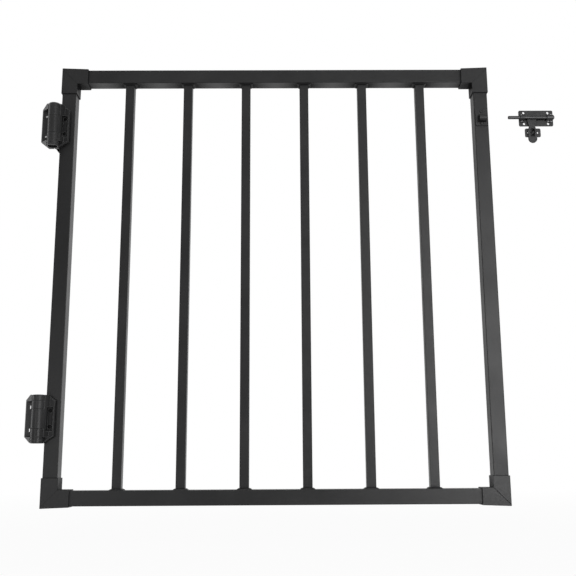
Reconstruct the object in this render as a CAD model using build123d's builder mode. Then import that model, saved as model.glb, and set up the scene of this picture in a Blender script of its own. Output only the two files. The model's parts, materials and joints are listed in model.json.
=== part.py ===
"""Deck gate: square aluminium picket gate with sprung hinges, a bolt keeper and a padlock slide bolt.

Frame: +X from hinge post to latch, +Y from the gate's front to its back, +Z up.
Origin: middle of the lower hinge's post slots, on the post leaf's mounting face.
"""
import os
from math import cos, pi, radians, sin, sqrt

from build123d import *

os.makedirs("parts", exist_ok=True)

# Gate frame
GATE_W = 812.8
GATE_H = 812.8
TUBE = 26.4
TUBE_WALL = 1.6
TUBE_EDGE = 1.2
PICKET = 16.6
PICKET_WALL = 1.3
PICKET_EDGE = 0.8
PICKET_COUNT = 6
PICKET_PITCH = 111.3
MITRE_GAP = 0.1
MITRE_ANGLE = 45.0
WELD_ALONG = 5.2
WELD_ACROSS = 3.6
WELD_RISE = 2.8
WELD_LAND = 0.15
CUT_PAST = 1.0

# Corner sleeves
SLEEVE_PROUD = 1.8
SLEEVE_FIT = 0.05
SLEEVE_ARM = 50.0
SLEEVE_FLARE = 1.8
SLEEVE_CHAMFER = 0.5
FINE_GROOVE_W = 0.35
FINE_GROOVE_D = 0.2
OPEN_GROOVE_W = 1.0
OPEN_GROOVE_D = 0.7
SLEEVE_SCREW_AT = 39.0

# Hinges
LOWER_HINGE_HEIGHT = 150.2
HINGE_SPACING = 545.6
HALF_GAP = 9.0
SLOT_OFFSET = 16.5
SLOT_RISE = 1.0
SLOT_SPACING = 40.0
SLOT_R = 1.75
SLOT_LENGTH = 7.0
AXIS_Y = -15.0
BARREL_R = 11.2
BARREL_HALF = 41.9
CAP_LINE = 31.2
SPLIT = 17.2
SPLIT_GAP = 0.4
KNUCKLE_CLEAR = 0.4
KNUCKLE_EDGE = 0.5
LEAF_T = 8.0
LEAF_BEVEL = 1.4
LEAF_BEVEL_SLOPE = 45.0
LEAF_MIDDLE = 0.6
POST_REACH = 24.3
POST_CUT_TOP = (9.5, 8.6)
POST_CUT_LOW = (14.0, 11.2)
SHOULDER_ANGLE = 30.0
GATE_REACH = 27.1
GATE_CUT_TOP = (12.0, 9.0)
GATE_CUT_LOW = (19.0, 12.2)
WEB_FOOT = 18.0
WEB_ANGLE = 18.0
POCKET_IN = 14.2
POCKET_OUT = 24.2
POCKET_HALF = 21.0
POCKET_D = 4.4
GATE_SCREW_U = 18.2
GATE_SCREW_W = 14.0
SINK_R = 3.8
SINK_D = 2.0
LEG_T = 8.0
LEG_DEPTH = 24.0
LEG_HALF = 41.0
LEG_EDGE = 1.0
LEG_WALL = 1.2
LEG_CORE = 12.0
PIN_R = 4.0
PIN_LOW = -34.0
PIN_HIGH = 36.0
PIN_FIT = 0.05
PIN_SEAT = 0.02
PIN_CHAMFER = 0.5
STEM_R = 7.0
STEM_TOP = -13.4
STEM_FIT = 0.05
CAP_R = 11.0
CAP_EDGE = 1.4
CAP_CHAMFER = 0.5
CAP_GAP = 0.2
DIAL_HEIGHT = 4.4
DIAL_EDGE = 1.0
DIAL_GROOVE_W = 0.9
DIAL_GROOVE_D = 1.0
DIAL_RECESS_R = 8.8
DIAL_RECESS_D = 5.5
DIAL_BAR_W = 3.0
DIAL_BAR_SINK = 2.5
BUSH_LOW = 12.6
BUSH_HIGH = 16.6
SPRING_R = 5.5
SPRING_WIRE = 0.75
SPRING_LOW = -12.2
SPRING_PITCH = 2.9
SPRING_TURNS = 8
SPRING_ARCS = 4
SPRING_SAMPLES = 288

# Screws, with head rounding and cross recess as shares of head height and shank radius
SCREW_R = 2.1
SCREW_HEAD_R = 3.4
SCREW_HEAD_H = 2.1
SCREW_FIT = 0.1
SCREW_LENGTH = 15.0
KEEPER_SCREW_R = 1.6
KEEPER_SCREW_HEAD_R = 2.7
KEEPER_SCREW_HEAD_H = 1.3
KEEPER_SCREW_LENGTH = 10.0
HEAD_ROUND = 0.6
CROSS_W = 0.25
CROSS_L = 1.15
CROSS_D = 0.6

# Slide bolt
BOLT_Z = 560.8
PLATE_GAP = 57.7
PLATE_W = 65.0
PLATE_H = 31.6
PLATE_T = 1.6
PLATE_CORNER = 2.6
PLATE_HOLE_R = 2.15
PLATE_HOLE_DX = 46.0
PLATE_HOLE_DZ = 22.2
ROD_R = 3.15
ROD_Y = -5.7
ROD_TIP_DX = -54.0
ROD_LENGTH = 87.5
ROD_TIP_ROUND = 1.1
GUIDE_CLEAR = 0.35
GUIDE_T = 1.4
GUIDE_FOOT = 8.2
GUIDE_A_DX = -31.4
GUIDE_A_W = 8.4
GUIDE_B_DX = 19.6
GUIDE_B_W = 12.0
RIVET_R = 0.9
RIVET_HEAD_R = 1.35
RIVET_HEAD_H = 0.6
RIVET_SLOPE = 30.0
RIVET_FIT = 0.05
RIVET_Z = 6.5

# Hasp and staple
HASP_DX = -8.9
HASP_T = 2.0
HASP_BACK_Y = -2.6
HASP_TOP_HALF = 8.5
HASP_TOP_Z = -1.0
HASP_SHOULDER_Z = -7.0
HASP_NECK_HALF = 6.1
HASP_NECK_Z = -18.0
HASP_RING_R = 8.4
HASP_RING_TOP_Z = -26.0
HASP_RING_LOW_Z = -41.6
HASP_FIT = 0.05
HASP_SLOT_W = 8.0
HASP_SLOT_L = 17.0
HASP_SLOT_Z = -30.0
HASP_EDGE = 0.4
STAPLE_DX = 1.5
STAPLE_Z = -29.0
STAPLE_WIRE_R = 1.3
STAPLE_HALF = 4.5
STAPLE_TIP_Y = -14.0
STAPLE_FIT = 0.05
STAPLE_PLATE_W = 29.6
STAPLE_PLATE_H = 17.2
STAPLE_PLATE_CORNER = 2.8
STAPLE_PLATE_HOLE_R = 1.85
STAPLE_PLATE_HOLE_DX = 16.8

# Keeper
KEEPER_W = 23.0
KEEPER_H = 33.6
KEEPER_T = 1.5
KEEPER_CORNER = 2.0
KEEPER_BORE_R = 4.8
KEEPER_WALL = 1.5
KEEPER_LOOP_FROM = -5.5
KEEPER_LOOP_LENGTH = 13.9
KEEPER_RISE = 2.8
KEEPER_SCREW_DZ = 12.4

# Derived places
AXIS_X = SLOT_OFFSET
STILE_X = AXIS_X + HALF_GAP
BASE_Z = -LOWER_HINGE_HEIGHT
RAIL_X0 = STILE_X
RAIL_X1 = STILE_X + GATE_W
TOP_Z = BASE_Z + GATE_H
LATCH_STILE_MID = RAIL_X1 - TUBE / 2
PLATE_X = RAIL_X1 + PLATE_GAP + PLATE_W / 2
ROD_TIP_X = PLATE_X + ROD_TIP_DX
GUIDE_A_X = PLATE_X + GUIDE_A_DX
GUIDE_B_X = PLATE_X + GUIDE_B_DX
HASP_X = PLATE_X + HASP_DX
STAPLE_X = HASP_X + STAPLE_DX
STAPLE_MID_Z = BOLT_Z + STAPLE_Z
FIRST_PICKET_X = RAIL_X0 + GATE_W / 2 - (PICKET_COUNT - 1) / 2 * PICKET_PITCH
PICKET_X = [FIRST_PICKET_X + i * PICKET_PITCH for i in range(PICKET_COUNT)]
HINGES = (("lower", -SLOT_RISE), ("upper", HINGE_SPACING - SLOT_RISE))
CORNERS = (
    ("lower_hinge", RAIL_X0, BASE_Z, 1, 1),
    ("lower_latch", RAIL_X1, BASE_Z, -1, 1),
    ("upper_hinge", RAIL_X0, TOP_Z, 1, -1),
    ("upper_latch", RAIL_X1, TOP_Z, -1, -1),
)
OPEN_MITRE = "lower_latch"


def save(piece, name):
    piece.label = name
    export_step(piece, f"parts/{name}.step")


def facing_front(x, y, z):
    """Work plane whose normal looks at the viewer: local x is +X, local y is +Z."""
    return Plane(origin=(x, y, z), x_dir=(1, 0, 0), z_dir=(0, -1, 0))


def facing_back(x, y, z):
    """Work plane whose normal looks away from the viewer: local x is -X, local y is +Z."""
    return Plane(origin=(x, y, z), x_dir=(-1, 0, 0), z_dir=(0, 1, 0))


def across(x, y, z):
    """Work plane whose normal is +X: local x is +Z, local y is towards the viewer."""
    return Plane(origin=(x, y, z), x_dir=(0, 0, 1), z_dir=(1, 0, 0))


def upright(x, y, z):
    """Work plane whose normal is +Z."""
    return Plane(origin=(x, y, z), x_dir=(1, 0, 0), z_dir=(0, 0, 1))


# Screw places as (x, z) pairs, by the wall they go through
def hinge_screw_places(z):
    return [(AXIS_X + GATE_SCREW_U, z + SLOT_RISE + w) for w in (-GATE_SCREW_W, GATE_SCREW_W)]


def sleeve_screw_places():
    places = []
    for _, x, z, sx, sz in CORNERS:
        places.append((x + sx * SLEEVE_SCREW_AT, z + sz * TUBE / 2))
        places.append((x + sx * TUBE / 2, z + sz * SLEEVE_SCREW_AT))
    return places


SCREW_SEAT_Y = -LEAF_T + POCKET_D + SINK_D
KEEPER_Z = BOLT_Z + KEEPER_RISE
KEEPER_SCREW_PLACES = [
    (LATCH_STILE_MID, KEEPER_Z - KEEPER_SCREW_DZ),
    (LATCH_STILE_MID, KEEPER_Z + KEEPER_SCREW_DZ),
]


def drill_front(places, radius, depth):
    """Holes through the front wall, cut from the front face inwards, in the open part."""
    for x, z in places:
        with BuildSketch(facing_front(x, depth, z)) as hole:
            Circle(radius)
        extrude(hole.sketch, amount=2 * depth, mode=Mode.SUBTRACT)


def drill_back(places, radius, depth, back):
    """Holes through a wall whose outer face is at y = back, in the open part."""
    for x, z in places:
        with BuildSketch(facing_back(x, back - depth, z)) as hole:
            Circle(radius)
        extrude(hole.sketch, amount=2 * depth, mode=Mode.SUBTRACT)


def mitre_prism(x, z, sx, sz, keep_upright):
    """Cuts the open tube back to the diagonal of a corner, leaving its half of the mitre gap."""
    reach = 2 * TUBE
    shift = MITRE_GAP / sqrt(2)
    if keep_upright:
        points = [(reach, reach + shift), (-reach, -reach + shift), (reach, -reach + shift)]
    else:
        points = [(reach + shift, reach), (-reach + shift, -reach), (-reach + shift, reach)]
    with BuildSketch(facing_front(x, 2 * TUBE, z)) as wedge:
        with BuildLine():
            Polyline(*[(sx * px, sz * pz) for px, pz in points], close=True)
        make_face()
    extrude(wedge.sketch, amount=3 * TUBE, mode=Mode.SUBTRACT)


def inside(places, x0, x1, z0, z1):
    return [(x, z) for x, z in places if x0 < x < x1 and z0 < z < z1]


def build_stile(name, x_mid, corners, front_places):
    with BuildPart() as stile:
        with BuildSketch(upright(x_mid, TUBE / 2, BASE_Z)):
            RectangleRounded(TUBE, TUBE, TUBE_EDGE)
            Rectangle(TUBE - 2 * TUBE_WALL, TUBE - 2 * TUBE_WALL, mode=Mode.SUBTRACT)
        extrude(amount=GATE_H)
        for _, x, z, sx, sz in corners:
            mitre_prism(x, z, sx, sz, True)
        for places, radius in front_places:
            drill_front(places, radius, 2 * TUBE_WALL)
        back = inside(sleeve_screw_places(), x_mid - TUBE / 2, x_mid + TUBE / 2, BASE_Z + TUBE, TOP_Z - TUBE)
        drill_back(back, SCREW_R + SCREW_FIT, 2 * TUBE_WALL, TUBE)
    save(stile.part, name)


def build_rail(name, z_mid, corners):
    with BuildPart() as rail:
        with BuildSketch(across(RAIL_X0, TUBE / 2, z_mid)):
            RectangleRounded(TUBE, TUBE, TUBE_EDGE)
            Rectangle(TUBE - 2 * TUBE_WALL, TUBE - 2 * TUBE_WALL, mode=Mode.SUBTRACT)
        extrude(amount=GATE_W)
        for _, x, z, sx, sz in corners:
            mitre_prism(x, z, sx, sz, False)
        low = z_mid - TUBE / 2
        back = inside(sleeve_screw_places(), RAIL_X0 + TUBE, RAIL_X1 - TUBE, low, low + TUBE)
        drill_back(back, SCREW_R + SCREW_FIT, 2 * TUBE_WALL, TUBE)
    save(rail.part, name)


hinge_holes = [place for _, z in HINGES for place in hinge_screw_places(z)]
hinge_corners = [c for c in CORNERS if c[3] > 0]
latch_corners = [c for c in CORNERS if c[3] < 0]
build_stile("hinge_stile", RAIL_X0 + TUBE / 2, hinge_corners, [(hinge_holes, SCREW_R + SCREW_FIT)])
keeper_holes = (KEEPER_SCREW_PLACES, KEEPER_SCREW_R + SCREW_FIT)
build_stile("latch_stile", LATCH_STILE_MID, latch_corners, [keeper_holes])
build_rail("bottom_rail", BASE_Z + TUBE / 2, [c for c in CORNERS if c[4] > 0])
build_rail("top_rail", TOP_Z - TUBE / 2, [c for c in CORNERS if c[4] < 0])


def build_corner_sleeve(name, x, z, sx, sz):
    outer = SLEEVE_PROUD
    inner = TUBE + SLEEVE_PROUD
    end = SLEEVE_ARM - SLEEVE_PROUD
    back = TUBE + SLEEVE_PROUD
    depth = TUBE + 2 * SLEEVE_PROUD
    corner = (-outer, -outer - SLEEVE_FLARE)
    outline = [corner, (end, -outer), (end, inner), (inner, inner), (inner, end), (-outer, end)]
    low = -SLEEVE_FIT
    high = TUBE + SLEEVE_FIT
    past = SLEEVE_ARM + TUBE
    bore = [(low, low), (past, low), (past, high), (high, high), (high, past), (low, past)]
    with BuildPart() as sleeve:
        with BuildSketch(facing_front(x, back, z)):
            with BuildLine():
                Polyline(*[(sx * px, sz * pz) for px, pz in outline], close=True)
            make_face()
        extrude(amount=depth)
        inner_edge = Vector(x + sx * inner, TUBE / 2, z + sz * inner)
        round_edges = [e for e in sleeve.edges() if (e.center() - inner_edge).length > SLEEVE_PROUD]
        chamfer(round_edges, SLEEVE_CHAMFER)
        with BuildSketch(facing_front(x, TUBE + SLEEVE_FIT, z)):
            with BuildLine():
                Polyline(*[(sx * px, sz * pz) for px, pz in bore], close=True)
            make_face()
        extrude(amount=TUBE + 2 * SLEEVE_FIT, mode=Mode.SUBTRACT)
        middle = (inner - outer) / 2
        groove_w, groove_d = (FINE_GROOVE_W, FINE_GROOVE_D)
        if name == OPEN_MITRE:
            groove_w, groove_d = (OPEN_GROOVE_W, OPEN_GROOVE_D)
        for face_y in (-SLEEVE_PROUD + groove_d, back + groove_d):
            with BuildSketch(facing_front(x + sx * middle, face_y, z + sz * middle)):
                Rectangle(2 * (inner + outer), groove_w, rotation=MITRE_ANGLE * sx * sz)
            extrude(amount=2 * groove_d, mode=Mode.SUBTRACT)
        reach = (x + sx * TUBE / 2, z + sz * TUBE / 2)
        near = [p for p in sleeve_screw_places() if abs(p[0] - reach[0]) + abs(p[1] - reach[1]) < SLEEVE_ARM]
        drill_back(near, SCREW_R + SCREW_FIT, 2 * SLEEVE_PROUD, back)
    save(sleeve.part, name + "_corner")


for corner_name, corner_x, corner_z, side_x, side_z in CORNERS:
    build_corner_sleeve(corner_name, corner_x, corner_z, side_x, side_z)


def add_screw(plane, radius, head_r, head_h, length):
    """Pan-head screw in the open part: its plane lies under the head, its normal leaves through the head."""
    with BuildSketch(plane) as head:
        Circle(head_r)
    head_top = extrude(head.sketch, amount=head_h).faces().sort_by(Axis(plane.origin, plane.z_dir))[-1]
    fillet(head_top.edges(), HEAD_ROUND * head_h)
    with BuildSketch(plane) as shank:
        Circle(radius)
    extrude(shank.sketch, amount=-length)
    with BuildSketch(plane.offset(head_h - CROSS_D * head_h)) as cross:
        Rectangle(2 * CROSS_L * radius, 2 * CROSS_W * radius)
        Rectangle(2 * CROSS_W * radius, 2 * CROSS_L * radius)
    extrude(cross.sketch, amount=head_h, mode=Mode.SUBTRACT)


with BuildPart() as corner_screws:
    for screw_x, screw_z in sleeve_screw_places():
        seat = facing_back(screw_x, TUBE + SLEEVE_PROUD, screw_z)
        add_screw(seat, SCREW_R, SCREW_HEAD_R, SCREW_HEAD_H, SCREW_LENGTH)
save(corner_screws.part, "corner_screws")

for number, picket_x in enumerate(PICKET_X, start=1):
    with BuildPart() as picket:
        with BuildSketch(upright(picket_x, TUBE / 2, BASE_Z + TUBE)):
            RectangleRounded(PICKET, PICKET, PICKET_EDGE)
            Rectangle(PICKET - 2 * PICKET_WALL, PICKET - 2 * PICKET_WALL, mode=Mode.SUBTRACT)
        extrude(amount=GATE_H - 2 * TUBE)
    save(picket.part, f"picket_{number}")


def build_picket_welds(name, z, up):
    with BuildPart() as welds:
        for x in PICKET_X:
            seat = Plane(origin=(x, TUBE / 2, z), x_dir=(1, 0, 0), z_dir=(0, 0, up))
            with BuildSketch(seat):
                Rectangle(PICKET + 2 * WELD_ALONG, PICKET + 2 * WELD_ACROSS)
            with BuildSketch(seat.offset(WELD_RISE)):
                Rectangle(PICKET + 2 * WELD_LAND, PICKET + 2 * WELD_LAND)
            loft()
            with BuildSketch(seat):
                RectangleRounded(PICKET, PICKET, PICKET_EDGE)
            extrude(amount=2 * WELD_RISE, mode=Mode.SUBTRACT)
    save(welds.part, name)


build_picket_welds("picket_welds_bottom", BASE_Z + TUBE, 1)
build_picket_welds("picket_welds_top", TOP_Z - TUBE, -1)


def leaf_outline(reach, cut_top, cut_low):
    """One leaf's outline with its corners cut, from the axis outwards, as (u, w) points."""
    half = BARREL_HALF
    return [
        (LEAF_MIDDLE, -half),
        (reach - cut_low[0], -half),
        (reach, -half + cut_low[1]),
        (reach, half - cut_top[1]),
        (reach - cut_top[0], half),
        (LEAF_MIDDLE, half),
    ]


def barrel_point(angle):
    """Point on the barrel, an angle forward of the sideways direction, as (u, y)."""
    return (BARREL_R * cos(radians(angle)), AXIS_Y - BARREL_R * sin(radians(angle)))


POST_OUTLINE = leaf_outline(POST_REACH, POST_CUT_TOP, POST_CUT_LOW)
POST_SECTION = [
    (LEAF_MIDDLE, 0),
    (POST_REACH, 0),
    (POST_REACH, -LEAF_T + LEAF_BEVEL),
    barrel_point(SHOULDER_ANGLE),
    (LEAF_MIDDLE, AXIS_Y),
]
GATE_OUTLINE = leaf_outline(GATE_REACH, GATE_CUT_TOP, GATE_CUT_LOW)
GATE_SECTION = [
    (LEAF_MIDDLE, 0),
    (WEB_FOOT, 0),
    (WEB_FOOT, -LEAF_T),
    barrel_point(WEB_ANGLE),
    (LEAF_MIDDLE, AXIS_Y),
]


def add_cylinder(z, low, high, radius, mode=Mode.ADD):
    """Cylinder on the hinge axis between two heights, in the open part."""
    with BuildSketch(upright(AXIS_X, AXIS_Y, z + low)) as disc:
        Circle(radius)
    extrude(disc.sketch, amount=high - low, mode=mode)


def add_knuckle(z, low, high):
    """Barrel segment on the hinge axis with broken edges, in the open part."""
    with BuildSketch(facing_front(AXIS_X, AXIS_Y, z)) as half:
        with BuildLine():
            Polyline(
                (0, low),
                (BARREL_R - KNUCKLE_EDGE, low),
                (BARREL_R, low + KNUCKLE_EDGE),
                (BARREL_R, high - KNUCKLE_EDGE),
                (BARREL_R - KNUCKLE_EDGE, high),
                (0, high),
                close=True,
            )
        make_face()
    revolve(half.sketch, axis=Axis((AXIS_X, AXIS_Y, z), (0, 0, 1)))


def add_webs(z, side, outline, section, bands):
    """Fillings between barrel and leaf over the given bands of height, first thing in the open part."""
    for low, high in bands:
        with BuildSketch(facing_front(AXIS_X, 0, z)) as front:
            with BuildLine():
                Polyline(*[(side * u, w) for u, w in outline], close=True)
            make_face()
            with Locations((0, (low + high) / 2)):
                Rectangle(4 * GATE_REACH, high - low, mode=Mode.INTERSECT)
        extrude(front.sketch, amount=BARREL_R - AXIS_Y)
    with BuildSketch(upright(AXIS_X, 0, z - 2 * BARREL_HALF)) as plan:
        with BuildLine():
            Polyline(*[(side * u, y) for u, y in section], close=True)
        make_face()
    extrude(plan.sketch, amount=4 * BARREL_HALF, mode=Mode.INTERSECT)


def add_leaf_plate(z, side, outline):
    """Flat leaf with a bevelled rim, in the open part."""
    for y, rise, slope in ((0, LEAF_T - LEAF_BEVEL, 0), (LEAF_BEVEL - LEAF_T, LEAF_BEVEL, LEAF_BEVEL_SLOPE)):
        with BuildSketch(facing_front(AXIS_X, y, z)) as front:
            with BuildLine():
                Polyline(*[(side * u, w) for u, w in outline], close=True)
            make_face()
        extrude(front.sketch, amount=rise, taper=slope)


def build_post_leaf(name, z):
    far = BARREL_HALF + LEAF_T
    wide = SPLIT + SPLIT_GAP / 2
    with BuildPart() as leaf:
        add_webs(z, -1, POST_OUTLINE, POST_SECTION, ((-BARREL_HALF, -CAP_LINE), (CAP_LINE, BARREL_HALF)))
        add_leaf_plate(z, -1, POST_OUTLINE)
        for low, high in ((wide, CAP_LINE), (-CAP_LINE, -wide)):
            add_knuckle(z, low, high)
        add_cylinder(z, -wide, wide, BARREL_R + KNUCKLE_CLEAR, Mode.SUBTRACT)
        add_cylinder(z, CAP_LINE, far, BARREL_R + KNUCKLE_CLEAR, Mode.SUBTRACT)
        add_cylinder(z, -far, -CAP_LINE, BARREL_R + KNUCKLE_CLEAR, Mode.SUBTRACT)
        add_cylinder(z, SPLIT, CAP_LINE + CUT_PAST, PIN_R + PIN_SEAT, Mode.SUBTRACT)
        add_cylinder(z, -CAP_LINE - CUT_PAST, -SPLIT, STEM_R + STEM_FIT, Mode.SUBTRACT)
        for w in (-SLOT_SPACING / 2, SLOT_SPACING / 2):
            with BuildSketch(facing_front(AXIS_X - SLOT_OFFSET, LEAF_T, z + SLOT_RISE + w)):
                SlotOverall(SLOT_LENGTH, 2 * SLOT_R, rotation=90)
            extrude(amount=3 * LEAF_T, mode=Mode.SUBTRACT)
    save(leaf.part, name)


def build_gate_leaf(name, z):
    far = BARREL_HALF + LEAF_T
    knuckle = SPLIT - SPLIT_GAP / 2
    with BuildPart() as leaf:
        add_webs(z, 1, GATE_OUTLINE, GATE_SECTION, ((-CAP_LINE, BARREL_HALF),))
        add_leaf_plate(z, 1, GATE_OUTLINE)
        with BuildSketch(facing_front(AXIS_X + (POCKET_IN + POCKET_OUT) / 2, -LEAF_T + POCKET_D, z)):
            Rectangle(POCKET_OUT - POCKET_IN, 2 * POCKET_HALF)
        extrude(amount=2 * LEAF_T, mode=Mode.SUBTRACT)
        with BuildSketch(facing_front(AXIS_X + HALF_GAP - LEG_T / 2, LEG_DEPTH, z)):
            Rectangle(LEG_T, 2 * LEG_HALF)
        leg = extrude(amount=LEG_DEPTH)
        chamfer(leg.edges().group_by(Axis.X)[0].filter_by(Axis.Y), LEG_EDGE)
        with BuildSketch(upright(AXIS_X + HALF_GAP - LEG_T / 2, LEG_DEPTH / 2, z - LEG_HALF - CUT_PAST)):
            Rectangle(LEG_T - 2 * LEG_WALL, LEG_DEPTH - 2 * LEG_WALL)
        extrude(amount=LEG_CORE + CUT_PAST, mode=Mode.SUBTRACT)
        add_knuckle(z, -knuckle, knuckle)
        add_cylinder(z, knuckle, far, BARREL_R + KNUCKLE_CLEAR, Mode.SUBTRACT)
        add_cylinder(z, -far, -knuckle, BARREL_R + KNUCKLE_CLEAR, Mode.SUBTRACT)
        add_cylinder(z, -SPLIT, SPLIT, STEM_R + STEM_FIT, Mode.SUBTRACT)
        drill_front(hinge_screw_places(z), SCREW_R + SCREW_FIT, LEAF_T)
        for screw_x, screw_z in hinge_screw_places(z):
            with BuildSketch(facing_front(screw_x, SCREW_SEAT_Y, screw_z)):
                Circle(SINK_R)
            extrude(amount=2 * LEAF_T, mode=Mode.SUBTRACT)
    save(leaf.part, name)


def build_hinge_pin(name, z):
    with BuildPart() as pin:
        add_cylinder(z, PIN_LOW, PIN_HIGH, PIN_R)
        chamfer(pin.edges().group_by(Axis.Z)[0] + pin.edges().group_by(Axis.Z)[-1], PIN_CHAMFER)
    save(pin.part, name)


def build_end_cap(name, z):
    with BuildPart() as cap:
        add_cylinder(z, CAP_LINE, BARREL_HALF, CAP_R)
        fillet(cap.edges().group_by(Axis.Z)[-1], CAP_EDGE)
        chamfer(cap.edges().group_by(Axis.Z)[0], CAP_CHAMFER)
        add_cylinder(z, CAP_LINE - CUT_PAST, PIN_HIGH + CAP_GAP, PIN_R + PIN_SEAT, Mode.SUBTRACT)
    save(cap.part, name)


def build_adjuster(name, z):
    """Turning cap under the barrel: a grip bar in its end, a sleeve that holds the spring's lower end."""
    top = -CAP_LINE - CAP_GAP
    low = -BARREL_HALF
    line = low + DIAL_HEIGHT
    with BuildPart() as adjuster:
        add_cylinder(z, low, top, CAP_R)
        fillet(adjuster.edges().group_by(Axis.Z)[0], DIAL_EDGE)
        chamfer(adjuster.edges().group_by(Axis.Z)[-1], CAP_CHAMFER)
        add_cylinder(z, line, line + DIAL_GROOVE_W, CAP_R + CUT_PAST, Mode.SUBTRACT)
        add_cylinder(z, line - CUT_PAST, line + DIAL_GROOVE_W + CUT_PAST, CAP_R - DIAL_GROOVE_D)
        add_cylinder(z, top - CUT_PAST, STEM_TOP, STEM_R)
        add_cylinder(z, PIN_LOW - CAP_GAP, STEM_TOP + CUT_PAST, PIN_R + PIN_FIT, Mode.SUBTRACT)
        add_cylinder(z, low - CUT_PAST, low + DIAL_RECESS_D, DIAL_RECESS_R, Mode.SUBTRACT)
        with BuildSketch(upright(AXIS_X, AXIS_Y, z + low + DIAL_BAR_SINK)):
            Rectangle(2 * DIAL_RECESS_R + CUT_PAST, DIAL_BAR_W)
        extrude(amount=DIAL_RECESS_D - DIAL_BAR_SINK)
    save(adjuster.part, name)


def build_bush(name, z):
    with BuildPart() as bush:
        add_cylinder(z, BUSH_LOW, BUSH_HIGH, STEM_R + PIN_SEAT)
        add_cylinder(z, BUSH_LOW - CUT_PAST, BUSH_HIGH + CUT_PAST, PIN_R + PIN_FIT, Mode.SUBTRACT)
    save(bush.part, name)


def spring_point(turn, z):
    angle = 2 * pi * turn
    return Vector(
        AXIS_X + SPRING_R * cos(angle), AXIS_Y + SPRING_R * sin(angle), z + SPRING_LOW + SPRING_PITCH * turn
    )


def spring_tangent(turn):
    angle = 2 * pi * turn
    rise = SPRING_PITCH / (2 * pi)
    return Vector(-SPRING_R * sin(angle), SPRING_R * cos(angle), rise).normalized()


def biarc_joint(p0, t0, p1, t1):
    """Point where two arcs that leave p0 along t0 and reach p1 along t1 meet in one tangent."""
    v = p1 - p0
    t = t0 + t1
    a = 2 * (1 - t0.dot(t1))
    b = 2 * v.dot(t)
    d = (-b + sqrt(b * b + 4 * a * v.dot(v))) / (2 * a)
    return (p0 + t0 * d + p1 - t1 * d) / 2


def least_gap(path):
    """Least clear space between two turns of the wire, on points of its path at least half a turn apart."""
    points = [path @ (i / SPRING_SAMPLES) for i in range(SPRING_SAMPLES + 1)]
    apart = SPRING_SAMPLES // (2 * SPRING_TURNS)
    return min((p - q).length for i, p in enumerate(points) for q in points[i + apart:]) - 2 * SPRING_WIRE


def build_spring(name, z):
    with BuildPart() as spring:
        with BuildLine() as coil:
            for i in range(SPRING_ARCS * SPRING_TURNS):
                start = i / SPRING_ARCS
                end = (i + 1) / SPRING_ARCS
                p0 = spring_point(start, z)
                p1 = spring_point(end, z)
                t0 = spring_tangent(start)
                middle = biarc_joint(p0, t0, p1, spring_tangent(end))
                first = TangentArc(p0, middle, tangent=t0)
                TangentArc(middle, p1, tangent=first % 1)
        with BuildSketch(Plane(origin=spring_point(0, z), z_dir=spring_tangent(0))):
            Circle(SPRING_WIRE)
        sweep(path=coil.line)
    print(f"{name}: least gap to itself {least_gap(coil.wires()[0]):.2f} mm")
    save(spring.part, name)


for hinge_name, hinge_z in HINGES:
    build_post_leaf(f"{hinge_name}_post_leaf", hinge_z)
    build_gate_leaf(f"{hinge_name}_gate_leaf", hinge_z)
    build_hinge_pin(f"{hinge_name}_hinge_pin", hinge_z)
    build_end_cap(f"{hinge_name}_end_cap", hinge_z)
    build_adjuster(f"{hinge_name}_tension_adjuster", hinge_z)
    build_bush(f"{hinge_name}_hinge_bush", hinge_z)
    build_spring(f"{hinge_name}_torsion_spring", hinge_z)
    with BuildPart() as leaf_screws:
        for screw_x, screw_z in hinge_screw_places(hinge_z):
            seat = facing_front(screw_x, SCREW_SEAT_Y, screw_z)
            add_screw(seat, SCREW_R, SCREW_HEAD_R, SCREW_HEAD_H, SCREW_LENGTH)
    save(leaf_screws.part, f"{hinge_name}_gate_leaf_screws")


def add_arch(radius, base, mode=Mode.ADD):
    """Half round about the rod's axis with straight legs down to a base height, in the open sketch."""
    height = -ROD_Y
    with BuildLine() as outline:
        Line((-radius, base), (-radius, height))
        ThreePointArc((-radius, height), (0, height + radius), (radius, height))
        Polyline((radius, height), (radius, base), (-radius, base))
    make_face(outline.edges(), mode=mode)


with BuildPart() as keeper:
    with BuildSketch(facing_front(LATCH_STILE_MID, 0, KEEPER_Z)):
        RectangleRounded(KEEPER_W, KEEPER_H, KEEPER_CORNER)
    extrude(amount=KEEPER_T)
    with BuildSketch(across(LATCH_STILE_MID + KEEPER_LOOP_FROM, 0, BOLT_Z)):
        add_arch(KEEPER_BORE_R + KEEPER_WALL, 0)
        add_arch(KEEPER_BORE_R, KEEPER_T, Mode.SUBTRACT)
    extrude(amount=KEEPER_LOOP_LENGTH)
    drill_front(KEEPER_SCREW_PLACES, KEEPER_SCREW_R + SCREW_FIT, KEEPER_T)
save(keeper.part, "keeper")

with BuildPart() as keeper_screws:
    for screw_x, screw_z in KEEPER_SCREW_PLACES:
        seat = facing_front(screw_x, -KEEPER_T, screw_z)
        add_screw(seat, KEEPER_SCREW_R, KEEPER_SCREW_HEAD_R, KEEPER_SCREW_HEAD_H, KEEPER_SCREW_LENGTH)
save(keeper_screws.part, "keeper_screws")

GUIDE_B_MID = GUIDE_B_X + GUIDE_B_W / 2
RIVET_XS = [GUIDE_A_X + GUIDE_A_W / 2, GUIDE_B_MID - GUIDE_B_W / 4, GUIDE_B_MID + GUIDE_B_W / 4]
RIVET_PLACES = [(x, BOLT_Z + side * RIVET_Z) for x in RIVET_XS for side in (-1, 1)]

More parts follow.
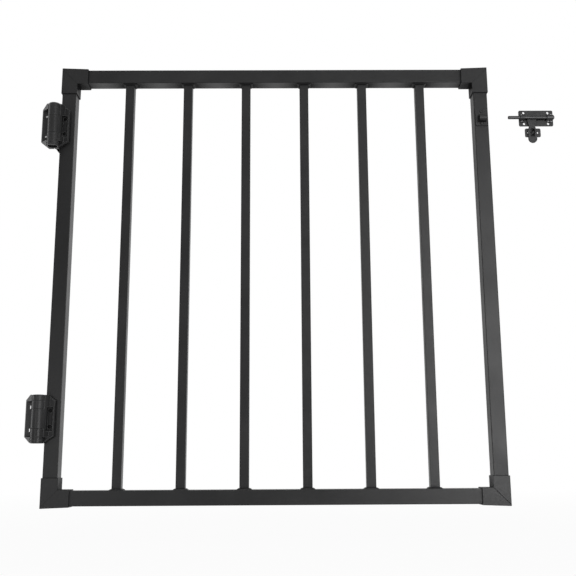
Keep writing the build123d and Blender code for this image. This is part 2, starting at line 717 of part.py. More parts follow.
with BuildPart() as latch_plate:
    with BuildSketch(facing_front(PLATE_X, 0, BOLT_Z)):
        RectangleRounded(PLATE_W, PLATE_H, PLATE_CORNER)
        with GridLocations(PLATE_HOLE_DX, PLATE_HOLE_DZ, 2, 2):
            Circle(PLATE_HOLE_R, mode=Mode.SUBTRACT)
    extrude(amount=PLATE_T)
    drill_front(RIVET_PLACES, RIVET_R + RIVET_FIT, PLATE_T)
save(latch_plate.part, "latch_plate")

GUIDE_R = ROD_R + GUIDE_CLEAR


def build_guide(name, x, width):
    with BuildPart() as guide:
        with BuildSketch(across(x, 0, BOLT_Z)):
            add_arch(GUIDE_R + GUIDE_T, PLATE_T)
            with Locations((0, PLATE_T + GUIDE_T / 2)):
                Rectangle(2 * GUIDE_FOOT, GUIDE_T)
            add_arch(GUIDE_R, PLATE_T, Mode.SUBTRACT)
        extrude(amount=width)
        drill_front(inside(RIVET_PLACES, x, x + width, BOLT_Z - GUIDE_FOOT, BOLT_Z + GUIDE_FOOT),
                    RIVET_R + RIVET_FIT, PLATE_T + 2 * GUIDE_T)
    save(guide.part, name)


build_guide("bolt_guide_front", GUIDE_A_X, GUIDE_A_W)
build_guide("bolt_guide_rear", GUIDE_B_X, GUIDE_B_W)

with BuildPart() as guide_rivets:
    for rivet_x, rivet_z in RIVET_PLACES:
        rivet_seat = facing_front(rivet_x, -PLATE_T - GUIDE_T, rivet_z)
        with BuildSketch(rivet_seat):
            Circle(RIVET_HEAD_R)
        extrude(amount=RIVET_HEAD_H, taper=RIVET_SLOPE)
        with BuildSketch(rivet_seat):
            Circle(RIVET_R)
        extrude(amount=-PLATE_T - GUIDE_T)
save(guide_rivets.part, "guide_rivets")

with BuildPart() as bolt_rod:
    with BuildSketch(across(ROD_TIP_X, ROD_Y, BOLT_Z)):
        Circle(ROD_R)
    extrude(amount=ROD_LENGTH)
    fillet(bolt_rod.edges().group_by(Axis.X)[0], ROD_TIP_ROUND)
    chamfer(bolt_rod.edges().group_by(Axis.X)[-1], ROD_TIP_ROUND / 2)
save(bolt_rod.part, "bolt_rod")

with BuildPart() as bolt_hasp:
    with BuildSketch(facing_front(HASP_X, HASP_BACK_Y, BOLT_Z)):
        with BuildLine():
            left = Polyline(
                (-HASP_RING_R, HASP_RING_LOW_Z),
                (-HASP_RING_R, HASP_RING_TOP_Z),
                (-HASP_NECK_HALF, HASP_NECK_Z),
                (-HASP_TOP_HALF, HASP_SHOULDER_Z),
                (-HASP_TOP_HALF, HASP_TOP_Z),
                (HASP_TOP_HALF, HASP_TOP_Z),
                (HASP_TOP_HALF, HASP_SHOULDER_Z),
                (HASP_NECK_HALF, HASP_NECK_Z),
                (HASP_RING_R, HASP_RING_TOP_Z),
                (HASP_RING_R, HASP_RING_LOW_Z),
            )
            ThreePointArc(left @ 1, (0, HASP_RING_LOW_Z - HASP_RING_R), left @ 0)
        make_face()
        with Locations((0, HASP_SLOT_Z)):
            SlotOverall(HASP_SLOT_L, HASP_SLOT_W, rotation=90, mode=Mode.SUBTRACT)
    extrude(amount=HASP_T)
    hasp_front = bolt_hasp.faces().sort_by(Axis.Y)[0]
    chamfer(hasp_front.edges(), HASP_EDGE)
    with BuildSketch(across(HASP_X - 2 * HASP_TOP_HALF, ROD_Y, BOLT_Z)):
        Circle(ROD_R + HASP_FIT)
    extrude(amount=4 * HASP_TOP_HALF, mode=Mode.SUBTRACT)
save(bolt_hasp.part, "bolt_hasp")

with BuildPart() as staple_plate:
    with BuildSketch(facing_front(STAPLE_X, 0, STAPLE_MID_Z)):
        RectangleRounded(STAPLE_PLATE_W, STAPLE_PLATE_H, STAPLE_PLATE_CORNER)
        with GridLocations(STAPLE_PLATE_HOLE_DX, 0, 2, 1):
            Circle(STAPLE_PLATE_HOLE_R, mode=Mode.SUBTRACT)
        with GridLocations(0, 2 * STAPLE_HALF, 1, 2):
            Circle(STAPLE_WIRE_R + STAPLE_FIT, mode=Mode.SUBTRACT)
    extrude(amount=PLATE_T)
save(staple_plate.part, "staple_plate")

STAPLE_BEND_Y = STAPLE_TIP_Y + STAPLE_WIRE_R + STAPLE_HALF

with BuildPart() as staple:
    with BuildLine() as staple_path:
        low_leg = Line(
            (STAPLE_X, 0, STAPLE_MID_Z - STAPLE_HALF), (STAPLE_X, STAPLE_BEND_Y, STAPLE_MID_Z - STAPLE_HALF)
        )
        bend = ThreePointArc(
            low_leg @ 1,
            (STAPLE_X, STAPLE_BEND_Y - STAPLE_HALF, STAPLE_MID_Z),
            (STAPLE_X, STAPLE_BEND_Y, STAPLE_MID_Z + STAPLE_HALF),
        )
        Line(bend @ 1, (STAPLE_X, 0, STAPLE_MID_Z + STAPLE_HALF))
    with BuildSketch(facing_front(STAPLE_X, 0, STAPLE_MID_Z - STAPLE_HALF)):
        Circle(STAPLE_WIRE_R)
    sweep(path=staple_path.line)
save(staple.part, "staple")
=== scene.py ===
import json
from math import cos, pi, sin

import bmesh
import bpy
from mathutils import Matrix, Vector


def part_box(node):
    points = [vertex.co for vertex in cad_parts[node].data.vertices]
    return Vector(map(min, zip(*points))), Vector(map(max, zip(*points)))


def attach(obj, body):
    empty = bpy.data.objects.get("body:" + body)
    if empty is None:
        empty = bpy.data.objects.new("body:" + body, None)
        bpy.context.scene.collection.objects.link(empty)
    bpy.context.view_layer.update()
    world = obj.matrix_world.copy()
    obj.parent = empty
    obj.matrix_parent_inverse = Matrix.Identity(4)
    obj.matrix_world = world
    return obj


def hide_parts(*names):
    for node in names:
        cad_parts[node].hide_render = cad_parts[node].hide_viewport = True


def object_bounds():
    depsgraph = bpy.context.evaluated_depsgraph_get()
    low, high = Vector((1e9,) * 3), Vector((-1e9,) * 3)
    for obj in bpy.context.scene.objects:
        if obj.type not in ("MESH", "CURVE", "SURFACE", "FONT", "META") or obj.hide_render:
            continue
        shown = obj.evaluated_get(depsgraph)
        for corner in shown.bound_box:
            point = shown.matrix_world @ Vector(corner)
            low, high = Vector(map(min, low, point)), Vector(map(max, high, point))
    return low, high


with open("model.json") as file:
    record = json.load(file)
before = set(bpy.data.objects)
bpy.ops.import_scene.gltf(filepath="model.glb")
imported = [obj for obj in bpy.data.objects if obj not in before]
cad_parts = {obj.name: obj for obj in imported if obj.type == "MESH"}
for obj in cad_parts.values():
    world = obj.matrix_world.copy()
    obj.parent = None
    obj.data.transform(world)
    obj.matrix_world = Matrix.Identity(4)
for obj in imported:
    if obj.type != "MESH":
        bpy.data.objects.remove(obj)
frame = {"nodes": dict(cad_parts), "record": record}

cad_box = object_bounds()
scene = bpy.context.scene
scene.view_settings.view_transform = "Standard"

# Camera: place in metres, turns in radians, lens and sensor in millimetres
CAMERA_PLACE = Vector((0.4441, -1.4747, -0.0689))
CAMERA_PITCH = 0.2022
CAMERA_YAW = 0.0072
CAMERA_ROLL = -0.0057
CAMERA_LENS = 51.61
CAMERA_SENSOR = 36.0

# Floor: its size in metres, its glow near and far, and the share that mirrors see before and behind the gate
FLOOR_BELOW = 0.05
FLOOR_HALF = 9.0
FLOOR_COLOUR = (0.50, 0.50, 0.50, 1.0)
FLOOR_GLOW = (0.95, 1.0)
FLOOR_FADE = (0.5, 2.2)
FLOOR_MIRROR = (0.1, 0.8)
FLOOR_RAMP = (-0.4, 0.1)

# Room: its brightness, and the directions between which the sweep and the left side change it in mirrors
WHITE = (1.0, 1.0, 1.0, 1.0)
WORLD_FILL = 0.5
ROOM_DIM = 0.40
ROOM_LEFT = 0.50
ROOM_TURN = (-0.3, 0.3)
SWEEP_TURN = (0.45, 0.85)

# Softboxes: name, place, target, width and height in metres, power in watts
SOFTBOXES = (
    ("key_right", (1.50, -2.05, 0.45), (0.70, 0.0, 0.30), (0.95, 1.6), 15.5),
    ("low_right", (1.15, -1.00, 0.00), (0.80, 0.0, -0.10), (0.50, 0.38), 1.35),
    ("low_left", (-0.27, -1.00, 0.00), (0.05, 0.0, -0.10), (0.35, 0.38), 0.50),
    ("strip_left", (-0.65, 0.10, 0.26), (0.0, 0.0, 0.26), (0.25, 1.5), 2.2),
    ("top", (0.40, -1.00, 2.20), (0.42, 0.0, 0.40), (1.6, 0.8), 8.0),
)

# Shader noise: the part of 0 to 1 that it mostly keeps to
NOISE_LOW = 0.3
NOISE_HIGH = 0.7

# Worn edges: how far the normal turns there, and how unevenly they wear
EDGE_TURN = (0.90, 0.995)
EDGE_WORN = (0.25, 1.0)
EDGE_SAMPLES = 6

# Painted crease shade: the gloss, and on steel the tone, that is left in the deepest, and the share of the
# sky that counts as open
PAINTED_SHADE_LEAST = 0.05
PAINTED_SHADE_OPEN = 0.97
PAINTED_SHADE_SAMPLES = 8

# Powder coat: sizes in metres, greys from thick to thin, shares of drift and grain, and of peel and grain
COAT_DRIFT = 0.07
COAT_PEEL = 0.0016
COAT_GRAIN = 0.0004
COAT_EDGE = 0.0012
COAT_EDGE_WEAR = 0.02
COAT_BUMP = 0.00006
COAT_GREYS = ((0.012, 0.012, 0.0125), (0.026, 0.026, 0.0268))
COAT_TONE = (0.0, 0.5)
COAT_TONE_SHARES = (0.7, 0.3)
COAT_RELIEF_SHARES = (1.0, 0.4)
COAT_THINNED = 0.5
COAT_ROUGHNESS = (0.32, 0.42)

# Hinge nylon: sizes in metres; along X the glossy barrels turn into darker, duller gate leaves whose edges
# are lightened, partly as wear and partly as a painted highlight; gloss drops in creases as painted shade
NYLON_FLOW = 0.02
NYLON_STRETCH = (1.0, 1.0, 0.3)
NYLON_GRAIN = 0.0005
NYLON_EDGE = 0.0012
NYLON_EDGE_WEAR = 0.008
NYLON_BUMP = 0.00004
NYLON_SHADE_REACH = 0.005
NYLON_SHUT = 0.4
NYLON_GLOSS = 0.40
NYLON_LEAF_X = (0.027, 0.034)
NYLON_LEAF_GLOSS = 0.5
NYLON_LEAF_WEAR_AND_HIGHLIGHT = 1.8
NYLON_GREYS = ((0.016, 0.016, 0.0165), (0.125, 0.125, 0.126))
NYLON_TONE = (0.0, 0.167)
NYLON_ROUGHNESS = (0.28, 0.42)
NYLON_ROUGH_SHARES = (0.6, 0.4)

# Black-plated steel: sizes in metres, the reach of its painted crease shade, and how its grain is drawn
# along each axis
STEEL_PLATING = 0.012
STEEL_DRAWN = 0.0010
STEEL_SPECK = 0.0007
STEEL_EDGE = 0.0006
STEEL_EDGE_WEAR = 0.004
STEEL_SHADE_REACH = 0.004
STEEL_SHUT = 0.5
STEEL_TONE = (0.0, 0.55)
STEEL_TONE_SPAN = (0.25, 0.6)
STEEL_TONE_SHARES = (0.5, 0.3)
STEEL_ROUGH_SHARES = (0.5, 0.5)
STEEL_RELIEF_SHARES = (1.0, 0.5)
STEEL_RUBBED = 0.6
STEEL_METALLIC = 0.8
STEEL_BUMP = 0.00003
PLATE_DRAWN = (0.06, 1.0, 1.0)
ROD_DRAWN = (0.05, 1.0, 1.0)
NOT_DRAWN = (1.0, 1.0, 1.0)

# Bare steel of pins and springs: sizes in metres
PIN_DRAWN = 0.0009
PIN_STRETCH = (1.0, 1.0, 0.08)
PIN_GREYS = ((0.36, 0.36, 0.37), (0.58, 0.58, 0.59))
PIN_ROUGHNESS = (0.22, 0.38)
PIN_BUMP = 0.00002

# Bush plastic: sizes in metres
ACETAL_CLOUD = 0.006
ACETAL_GRAIN = 0.0006
ACETAL_TINTS = ((0.70, 0.69, 0.65), (0.80, 0.79, 0.75))
ACETAL_ROUGHNESS = (0.30, 0.42)
ACETAL_BUMP = 0.00002

# Fillet welds round the picket ends, in metres
PICKETS = 6
PICKET_CORNER = 0.0008
CORNER_STEPS = 4
WELD_ALONG = 0.0052
WELD_ACROSS = 0.0036
WELD_RISE = 0.0028
WELD_BULGE = 0.00035
WELD_RIPPLE = 0.00010
WELD_RIPPLE_PITCH = 0.0018
WELD_STEPS_PER_RIPPLE = 4
WELD_SECTION_STEPS = 6

# Torsion springs, in metres
SPRING_TURNS = 8
SPRING_STEPS_PER_TURN = 32
SPRING_WIRE_SIDES = 10
SPRING_WIRE = 0.00075


def add_node(tree, kind, inputs=None, **settings):
    """A shader node whose inputs are given as values or as other nodes' output sockets."""
    node = tree.nodes.new(kind)
    for name, value in settings.items():
        setattr(node, name, value)
    for name, value in (inputs or {}).items():
        if isinstance(value, bpy.types.NodeSocket):
            tree.links.new(value, node.inputs[name])
        else:
            node.inputs[name].default_value = value
    return node


def calculate(tree, operation, a, b):
    return add_node(tree, "ShaderNodeMath", {0: a, 1: b}, operation=operation).outputs[0]


def add(tree, a, b):
    return calculate(tree, "ADD", a, b)


def multiply(tree, a, b):
    return calculate(tree, "MULTIPLY", a, b)


def greater(tree, a, b):
    return calculate(tree, "MAXIMUM", a, b)


def between(tree, value, low, high, start=NOISE_LOW, end=NOISE_HIGH):
    """Runs from low to high as value runs from start to end."""
    return add_node(tree, "ShaderNodeMapRange", {
        "Value": value, "From Min": start, "From Max": end, "To Min": low, "To Max": high}).outputs[0]


def along_axis(tree, vector, axis):
    return add_node(tree, "ShaderNodeSeparateXYZ", {"Vector": vector}).outputs[axis]


def end_with_mix(tree, output, share, first, second):
    """Ends a tree with two shaders, the second by the given share."""
    inputs = {0: share, 1: first.outputs[0], 2: second.outputs[0]}
    mixed = add_node(tree, "ShaderNodeMixShader", inputs)
    add_node(tree, output, {"Surface": mixed.outputs[0]})


def seen(tree, mirrored):
    """One for camera rays, the mirrored share for rays from a mirror or a clear surface, else zero."""
    path = add_node(tree, "ShaderNodeLightPath").outputs
    bounced = greater(tree, path["Is Glossy Ray"], path["Is Transmission Ray"])
    return greater(tree, path["Is Camera Ray"], multiply(tree, bounced, mirrored))


def make_camera():
    level = cos(CAMERA_PITCH)
    forward = Vector((sin(CAMERA_YAW) * level, cos(CAMERA_YAW) * level, sin(CAMERA_PITCH)))
    level_right = Vector((cos(CAMERA_YAW), -sin(CAMERA_YAW), 0.0))
    level_up = level_right.cross(forward)
    right = level_right * cos(CAMERA_ROLL) + level_up * sin(CAMERA_ROLL)
    up = level_up * cos(CAMERA_ROLL) - level_right * sin(CAMERA_ROLL)
    data = bpy.data.cameras.new("camera")
    data.lens = CAMERA_LENS
    data.sensor_width = CAMERA_SENSOR
    camera = bpy.data.objects.new("camera", data)
    turned = Matrix((right, up, -forward)).transposed().to_4x4()
    camera.matrix_world = Matrix.Translation(CAMERA_PLACE) @ turned
    scene.collection.objects.link(camera)
    scene.camera = camera


def make_world():
    """White all round to the camera; in mirrors the room before the gate is dimmer than the sweep behind."""
    world = bpy.data.worlds.new("studio")
    world.use_nodes = True
    scene.world = world
    tree = world.node_tree
    tree.nodes.clear()
    way = add_node(tree, "ShaderNodeTexCoord").outputs["Generated"]
    behind = between(tree, along_axis(tree, way, "Y"), 0.0, 1.0, *SWEEP_TURN)
    rightwards = between(tree, along_axis(tree, way, "X"), ROOM_LEFT, 1.0, *ROOM_TURN)
    sweep = multiply(tree, behind, rightwards)
    mirrored = seen(tree, greater(tree, sweep, ROOM_DIM))
    fill = add_node(tree, "ShaderNodeBackground", {"Color": WHITE, "Strength": WORLD_FILL})
    white = add_node(tree, "ShaderNodeBackground", {"Color": WHITE, "Strength": mirrored})
    end_with_mix(tree, "ShaderNodeOutputWorld", seen(tree, 1.0), fill, white)


def make_floor():
    """White to the camera; in mirrors dim before the gate and pale behind it."""
    middle = (cad_box[0] + cad_box[1]) / 2
    middle.z = cad_box[0].z - FLOOR_BELOW
    sides = ((-1, -1), (1, -1), (1, 1), (-1, 1))
    corners = [middle + Vector((x, y, 0.0)) * FLOOR_HALF for x, y in sides]
    mesh = bpy.data.meshes.new("floor")
    mesh.from_pydata(corners, [], [(0, 1, 2, 3)])
    floor = bpy.data.objects.new("floor", mesh)
    scene.collection.objects.link(floor)
    material = empty_material("pale_floor")
    tree = material.node_tree
    matt = add_node(tree, "ShaderNodeBsdfDiffuse", {"Color": FLOOR_COLOUR})
    glow = add_node(tree, "ShaderNodeEmission", {"Color": WHITE, "Strength": 1.0})
    place = add_node(tree, "ShaderNodeNewGeometry").outputs["Position"]
    away = add_node(tree, "ShaderNodeVectorMath", {0: place, 1: middle}, operation="DISTANCE")
    mirrored = between(tree, along_axis(tree, place, "Y"), *FLOOR_MIRROR, *FLOOR_RAMP)
    glowing = between(tree, away.outputs["Value"], *FLOOR_GLOW, *FLOOR_FADE)
    share = multiply(tree, seen(tree, mirrored), glowing)
    end_with_mix(tree, "ShaderNodeOutputMaterial", share, matt, glow)
    mesh.materials.append(material)


def make_softbox(name, place, target, size, power):
    data = bpy.data.lights.new(name, "AREA")
    data.shape = "RECTANGLE"
    data.size, data.size_y = size
    data.energy = power
    lamp = bpy.data.objects.new(name, data)
    lamp.location = place
    lamp.rotation_euler = (Vector(target) - Vector(place)).to_track_quat("-Z", "Y").to_euler()
    lamp.visible_camera = False
    scene.collection.objects.link(lamp)


def empty_material(name):
    material = bpy.data.materials.new(name)
    material.use_nodes = True
    material.node_tree.nodes.clear()
    return material


def new_finish(name):
    """A material with one shader, whose inputs are still to be set."""
    material = empty_material(name)
    tree = material.node_tree
    shader = add_node(tree, "ShaderNodeBsdfPrincipled")
    add_node(tree, "ShaderNodeOutputMaterial", {"Surface": shader.outputs[0]})
    return material, tree, shader


def noise(tree, size, detail=2.0, stretch=(1.0, 1.0, 1.0)):
    """Noise from 0 to 1, with features about size metres across, on the piece's own coordinates."""
    place = add_node(tree, "ShaderNodeTexCoord").outputs["Object"]
    scaled = add_node(tree, "ShaderNodeMapping", {"Vector": place, "Scale": stretch}).outputs[0]
    inputs = {"Vector": scaled, "Scale": 1.0 / size, "Detail": detail}
    return add_node(tree, "ShaderNodeTexNoise", inputs).outputs["Fac"]


def weighted(tree, a, b, shares):
    """Two values added, each by its own share."""
    return add(tree, multiply(tree, a, shares[0]), multiply(tree, b, shares[1]))


def grey_mix(tree, share, dark, light):
    """A colour between two others, each given as red, green and blue."""
    ramp = add_node(tree, "ShaderNodeValToRGB", {"Fac": share})
    ramp.color_ramp.elements[0].color = (*dark, 1.0)
    ramp.color_ramp.elements[1].color = (*light, 1.0)
    return ramp.outputs["Color"]


def edge_share(tree, radius, worn_size):
    """One along worn stretches of sharp edges, zero on flats."""
    rounded = add_node(tree, "ShaderNodeBevel", {"Radius": radius}, samples=EDGE_SAMPLES).outputs["Normal"]
    surface = add_node(tree, "ShaderNodeNewGeometry").outputs["Normal"]
    turned = add_node(tree, "ShaderNodeVectorMath", {0: rounded, 1: surface}, operation="DOT_PRODUCT")
    sharp = between(tree, turned.outputs["Value"], 1.0, 0.0, *EDGE_TURN)
    return multiply(tree, sharp, between(tree, noise(tree, worn_size, detail=4.0), *EDGE_WORN))


def painted_crease_shade(tree, reach, shut):
    """Painted shade: one in the open, least where surfaces within reach leave only the shut share of the sky
    or less.
    """
    nearby = add_node(tree, "ShaderNodeAmbientOcclusion", {"Distance": reach}, samples=PAINTED_SHADE_SAMPLES)
    return between(tree, nearby.outputs["AO"], PAINTED_SHADE_LEAST, 1.0, shut, PAINTED_SHADE_OPEN)


def set_surface(tree, shader, colour, roughness):
    tree.links.new(colour, shader.inputs["Base Color"])
    tree.links.new(roughness, shader.inputs["Roughness"])


def set_gloss(tree, shader, gloss, share):
    """Gloss that varies by share; the plain value stays on the socket for uses that drop the link."""
    level = shader.inputs["Specular IOR Level"]
    level.default_value = gloss
    tree.links.new(multiply(tree, share, gloss), level)


def add_bump(tree, shader, height, depth):
    bump = add_node(tree, "ShaderNodeBump", {"Height": height, "Distance": depth, "Strength": 1.0})
    tree.links.new(bump.outputs["Normal"], shader.inputs["Normal"])


def powder_coat(name, gloss, shade_reach, shut):
    """Satin black powder coat: faint orange peel, fine grain, a little paler where it thins on edges, and
    less glossy in creases as painted shade.
    """
    material, tree, shader = new_finish(name)
    drift = noise(tree, COAT_DRIFT, detail=3.0)
    peel = noise(tree, COAT_PEEL, detail=2.0)
    grain = noise(tree, COAT_GRAIN, detail=1.0)
    body = between(tree, weighted(tree, drift, grain, COAT_TONE_SHARES), *COAT_TONE)
    thin = multiply(tree, edge_share(tree, COAT_EDGE, COAT_EDGE_WEAR), COAT_THINNED)
    colour = grey_mix(tree, add(tree, body, thin), *COAT_GREYS)
    set_surface(tree, shader, colour, between(tree, drift, *COAT_ROUGHNESS))
    # Painted shade: the gloss drops where nearby surfaces crowd in.
    set_gloss(tree, shader, gloss, painted_crease_shade(tree, shade_reach, shut))
    add_bump(tree, shader, weighted(tree, peel, grain, COAT_RELIEF_SHARES), COAT_BUMP)
    return material


def moulded_nylon():
    """Black glass-filled nylon: fine grain, faint flow marks, barrels glossier and lighter than the gate
    leaves, edges lightened as wear and painted highlight, creases less glossy as painted shade.
    """
    material, tree, shader = new_finish("moulded_nylon_black")
    place = add_node(tree, "ShaderNodeTexCoord").outputs["Object"]
    across = along_axis(tree, place, "X")
    # Darker and less glossy towards the gate leaves along X.
    barrel_level = between(tree, across, 1.0, NYLON_LEAF_GLOSS, *NYLON_LEAF_X)
    # Edges are lightened more on the leaves, partly as wear and partly as a painted highlight.
    lifted = between(tree, across, 1.0, NYLON_LEAF_WEAR_AND_HIGHLIGHT, *NYLON_LEAF_X)
    flow = noise(tree, NYLON_FLOW, detail=3.0, stretch=NYLON_STRETCH)
    grain = noise(tree, NYLON_GRAIN, detail=2.0)
    body = multiply(tree, between(tree, flow, *NYLON_TONE), barrel_level)
    lightened = multiply(tree, edge_share(tree, NYLON_EDGE, NYLON_EDGE_WEAR), lifted)
    colour = grey_mix(tree, add(tree, body, lightened), *NYLON_GREYS)
    uneven = weighted(tree, flow, grain, NYLON_ROUGH_SHARES)
    set_surface(tree, shader, colour, between(tree, uneven, *NYLON_ROUGHNESS))
    # Painted shade: the gloss drops in creases.
    set_gloss(tree, shader, NYLON_GLOSS, multiply(tree, painted_crease_shade(tree, NYLON_SHADE_REACH, NYLON_SHUT), barrel_level))
    add_bump(tree, shader, grain, NYLON_BUMP)
    return material


def black_steel(name, dark, light, roughness, drawn_out):
    """Black-plated steel: drawn grain, uneven plating, edges rubbed brighter, darker in creases as painted
    shade.
    """
    material, tree, shader = new_finish(name)
    plating = noise(tree, STEEL_PLATING, detail=4.0)
    drawn = noise(tree, STEEL_DRAWN, detail=3.0, stretch=drawn_out)
    speck = noise(tree, STEEL_SPECK, detail=2.0)
    marks = weighted(tree, plating, drawn, STEEL_TONE_SHARES)
    body = between(tree, marks, *STEEL_TONE, *STEEL_TONE_SPAN)
    lifted = multiply(tree, edge_share(tree, STEEL_EDGE, STEEL_EDGE_WEAR), STEEL_RUBBED)
    # Painted shade: the tone darkens in creases.
    tone = multiply(tree, add(tree, body, lifted), painted_crease_shade(tree, STEEL_SHADE_REACH, STEEL_SHUT))
    uneven = weighted(tree, plating, speck, STEEL_ROUGH_SHARES)
    set_surface(tree, shader, grey_mix(tree, tone, dark, light), between(tree, uneven, *roughness))
    shader.inputs["Metallic"].default_value = STEEL_METALLIC
    add_bump(tree, shader, weighted(tree, drawn, speck, STEEL_RELIEF_SHARES), STEEL_BUMP)
    return material


def bright_steel():
    """Bare drawn steel of the pins and springs."""
    material, tree, shader = new_finish("bright_steel")
    drawn = noise(tree, PIN_DRAWN, detail=3.0, stretch=PIN_STRETCH)
    set_surface(tree, shader, grey_mix(tree, drawn, *PIN_GREYS), between(tree, drawn, *PIN_ROUGHNESS))
    shader.inputs["Metallic"].default_value = 1.0
    add_bump(tree, shader, drawn, PIN_BUMP)
    return material


def acetal():
    """Off-white bush plastic, slightly waxy."""
    material, tree, shader = new_finish("acetal_white")
    cloud = noise(tree, ACETAL_CLOUD, detail=3.0)
    set_surface(tree, shader, grey_mix(tree, cloud, *ACETAL_TINTS), between(tree, cloud, *ACETAL_ROUGHNESS))
    add_bump(tree, shader, noise(tree, ACETAL_GRAIN, detail=2.0), ACETAL_BUMP)
    return material


def dress(piece, node_name):
    """Gives a piece the finish of a node: the node's own where it has one, else its slot's."""
    material = node_materials.get(node_name, slot_materials[slot_of[node_name]])
    piece.data.materials.clear()
    piece.data.materials.append(material)


def new_piece(name, mesh, body, node_name):
    """Puts a finished mesh in the scene in place of a node, with that node's finish."""
    piece = bpy.data.objects.new(name, mesh)
    scene.collection.objects.link(piece)
    for polygon in mesh.polygons:
        polygon.use_smooth = True
    dress(piece, node_name)
    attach(piece, body)
    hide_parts(node_name)


def add_closed_tube(mesh, rings, capped):
    """Skins equal rings of points in order: end to start if not capped, else with a face on each end."""
    sides = len(rings[0])
    made = [[mesh.verts.new(point) for point in ring] for ring in rings]
    pairs = list(zip(made, made[1:]))
    if not capped:
        pairs.append((made[-1], made[0]))
    for ring, after in pairs:
        for i in range(sides):
            j = (i + 1) % sides
            mesh.faces.new((ring[i], ring[j], after[j], after[i]))
    if capped:
        mesh.faces.new(reversed(made[0]))
        mesh.faces.new(made[-1])


def mesh_from(name, build):
    working = bmesh.new()
    build(working)
    bmesh.ops.recalc_face_normals(working, faces=working.faces)
    mesh = bpy.data.meshes.new(name)
    working.to_mesh(mesh)
    working.free()
    return mesh


def rounded_square(half, corner, pitch):
    """Points about pitch apart round a square with rounded corners, each with its outward direction."""
    straight = 2 * (half - corner)
    steps = max(1, round(straight / pitch))
    places = []
    for side in range(4):
        out = Vector((cos(side * pi / 2), sin(side * pi / 2), 0.0))
        along = Vector((-out.y, out.x, 0.0))
        for i in range(steps):
            places.append((out * half + along * (straight * (i / steps) - straight / 2), out))
        centre = (out + along) * (half - corner)
        for i in range(CORNER_STEPS):
            angle = (side + i / CORNER_STEPS) * pi / 2
            way = Vector((cos(angle), sin(angle), 0.0))
            places.append((centre + way * corner, way))
    return places


def build_weld(mesh, centre, half, up):
    """Rippled fillet bead round one picket end; up is +1 for a bead on top of a rail, -1 below one."""
    pitch = WELD_RIPPLE_PITCH / WELD_STEPS_PER_RIPPLE
    rings = []
    for index, (place, out) in enumerate(rounded_square(half, PICKET_CORNER, pitch)):
        ripple = WELD_RIPPLE * cos(2 * pi * index / WELD_STEPS_PER_RIPPLE)
        ring = [centre + place]
        for step in range(WELD_SECTION_STEPS + 1):
            share = step / WELD_SECTION_STEPS
            swell = (WELD_BULGE + ripple) * sin(pi * share)
            foot = Vector((out.x * WELD_ALONG, out.y * WELD_ACROSS, 0.0)) * share
            rise = WELD_RISE * (1.0 - share) + swell
            ring.append(centre + place + foot + out * swell + Vector((0.0, 0.0, up * rise)))
        rings.append(ring)
    add_closed_tube(mesh, rings, capped=False)


def make_welds(node_name, up):
    low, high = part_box(node_name)
    level = low.z if up > 0 else high.z
    boxes = [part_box(f"picket_{i}") for i in range(1, PICKETS + 1)]

    def build(mesh):
        for box_low, box_high in boxes:
            centre = (box_low + box_high) / 2
            centre.z = level
            build_weld(mesh, centre, (box_high.x - box_low.x) / 2, up)

    new_piece(f"{node_name}_beads", mesh_from(node_name, build), "gate", node_name)


def make_spring(node_name):
    """Close wire helix that fills the coil's own box."""
    low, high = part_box(node_name)
    centre = (low + high) / 2
    coil_r = (high.x - low.x) / 2 - SPRING_WIRE
    rise = high.z - low.z - 2 * SPRING_WIRE
    count = SPRING_TURNS * SPRING_STEPS_PER_TURN
    slope = rise / (2 * pi * SPRING_TURNS)
    wire_turns = [2 * pi * k / SPRING_WIRE_SIDES for k in range(SPRING_WIRE_SIDES)]
    rings = []
    for i in range(count + 1):
        angle = 2 * pi * i / SPRING_STEPS_PER_TURN
        out = Vector((cos(angle), sin(angle), 0.0))
        along = Vector((-sin(angle) * coil_r, cos(angle) * coil_r, slope)).normalized()
        side = along.cross(out)
        middle = Vector((centre.x, centre.y, low.z + SPRING_WIRE + rise * i / count)) + out * coil_r
        rings.append([middle + (out * cos(t) + side * sin(t)) * SPRING_WIRE for t in wire_turns])
    mesh = mesh_from(node_name, lambda working: add_closed_tube(working, rings, capped=True))
    new_piece(f"{node_name}_wire", mesh, "gate", node_name)


make_camera()
make_world()
make_floor()
for softbox in SOFTBOXES:
    make_softbox(*softbox)

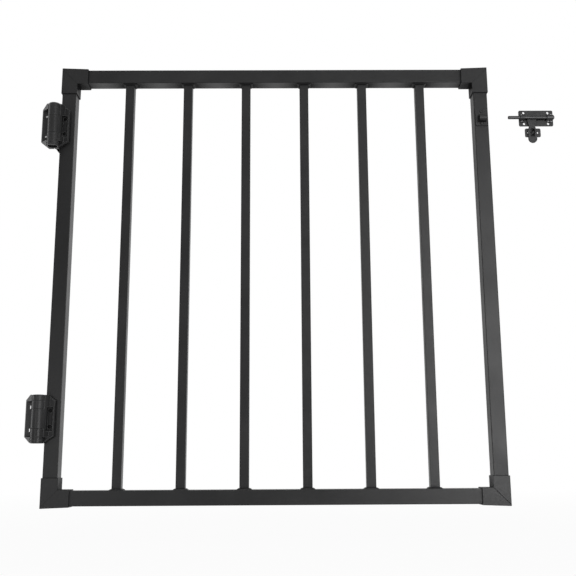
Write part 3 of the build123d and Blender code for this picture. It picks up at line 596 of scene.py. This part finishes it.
# Finishes, and which slot or node takes each
plate_steel = black_steel(
    "black_steel_plate",
    dark=(0.040, 0.040, 0.041),
    light=(0.078, 0.078, 0.079),
    roughness=(0.30, 0.46),
    drawn_out=PLATE_DRAWN,
)
rod_steel = black_steel(
    "black_steel_rod",
    dark=(0.045, 0.045, 0.046),
    light=(0.120, 0.120, 0.122),
    roughness=(0.22, 0.36),
    drawn_out=ROD_DRAWN,
)
# Rivet heads: pale partly as scuffed steel and partly as a painted highlight of their glints.
rivet_steel = black_steel(
    "scuffed_steel_rivet_with_painted_glint",
    dark=(0.300, 0.300, 0.304),
    light=(0.640, 0.640, 0.646),
    roughness=(0.26, 0.40),
    drawn_out=NOT_DRAWN,
)
screw_steel = black_steel(
    "black_steel_screw",
    dark=(0.045, 0.045, 0.046),
    light=(0.110, 0.110, 0.112),
    roughness=(0.32, 0.46),
    drawn_out=NOT_DRAWN,
)
dull_steel = black_steel(
    "dull_black_steel",
    dark=(0.012, 0.012, 0.0125),
    light=(0.040, 0.040, 0.041),
    roughness=(0.40, 0.55),
    drawn_out=NOT_DRAWN,
)
coat = powder_coat("powder_coat_black", gloss=0.45, shade_reach=0.006, shut=0.5)
# A copy with a wide painted shade, darkening the inner corners and the top rail's underside near the
# pickets.
corner_shade_coat = powder_coat("powder_coat_painted_corner_shade", gloss=0.45, shade_reach=0.045, shut=0.86)
# A duller copy for the beads under the top rail, darkened there as painted shade.
weld_shade_coat = powder_coat("powder_coat_painted_shade_under_rail", gloss=0.18, shade_reach=0.020, shut=0.5)
# A slightly less glossy copy with only a faint painted crease shade.
stile_coat = powder_coat("powder_coat_on_stiles", gloss=0.41, shade_reach=0.0015, shut=0.5)
slot_materials = {
    "powder_coated_aluminium": coat,
    "hinge_nylon": moulded_nylon(),
    "bush_acetal": acetal(),
    "plain_steel": bright_steel(),
    "black_steel": plate_steel,
}
node_materials = {
    "top_rail": corner_shade_coat,
    "lower_hinge_corner": corner_shade_coat,
    "lower_latch_corner": corner_shade_coat,
    "upper_hinge_corner": corner_shade_coat,
    "upper_latch_corner": corner_shade_coat,
    "keeper": stile_coat,
    "latch_stile": stile_coat,
    "hinge_stile": stile_coat,
    "bolt_rod": rod_steel,
    # The rear guide takes the brighter rod steel: a painted highlight on its crown.
    "bolt_guide_rear": rod_steel,
    "staple": dull_steel,
    "guide_rivets": rivet_steel,
    "corner_screws": screw_steel,
    "keeper_screws": screw_steel,
    # The gate-leaf screws take the darkest steel: painted shade of their sunk holes.
    "lower_gate_leaf_screws": dull_steel,
    "upper_gate_leaf_screws": dull_steel,
    "picket_welds_top": weld_shade_coat,
}
slot_of = {row["node"]: row["material_slot"] for row in frame["record"]["subparts"]}
for node_name, node in frame["nodes"].items():
    dress(node, node_name)

make_welds("picket_welds_bottom", 1)
make_welds("picket_welds_top", -1)
make_spring("lower_torsion_spring")
make_spring("upper_torsion_spring")

bpy.context.view_layer.update()
